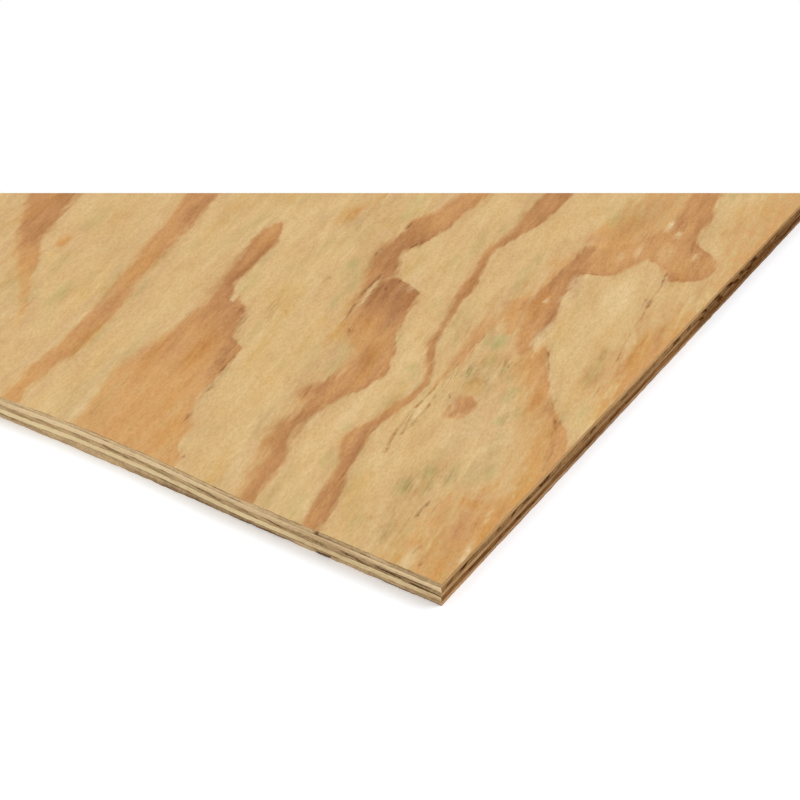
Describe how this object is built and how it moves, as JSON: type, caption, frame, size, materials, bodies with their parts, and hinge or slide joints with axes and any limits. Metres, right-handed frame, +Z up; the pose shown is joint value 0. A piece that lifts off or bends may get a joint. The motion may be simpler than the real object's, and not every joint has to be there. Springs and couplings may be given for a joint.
{
  "type": "plywood sheet",
  "caption": "Flat rectangular pine plywood sheet of crossed veneers glued face to face, trimmed square, lying on its back veneer, for sheathing, decking and cutting into panels.",
  "frame": {"origin": "middle of the sheet's underside, on the floor it lies on", "axes": "+X along the long edges and the face grain, +Y along the short edges, +Z up, out of the face veneer"},
  "size_m": [2.4384, 1.2192, 0.0183],
  "materials": {
    "face_veneer": "rotary-cut pine, unfinished, broad brown latewood bands and a faint green preservative tint",
    "crossband": "sawn pine, pale along the short edges and brown end grain along the long edges",
    "centre_veneer": "sawn pine, brown end grain along the short edges and pale along the long edges",
    "back_veneer": "rotary-cut pine, unfinished"
  },
  "bodies": {
    "root": {"face_veneer": "face_veneer", "upper_crossband": "crossband", "centre_veneer": "centre_veneer", "lower_crossband": "crossband", "back_veneer": "back_veneer"}
  },
  "joints": []
}
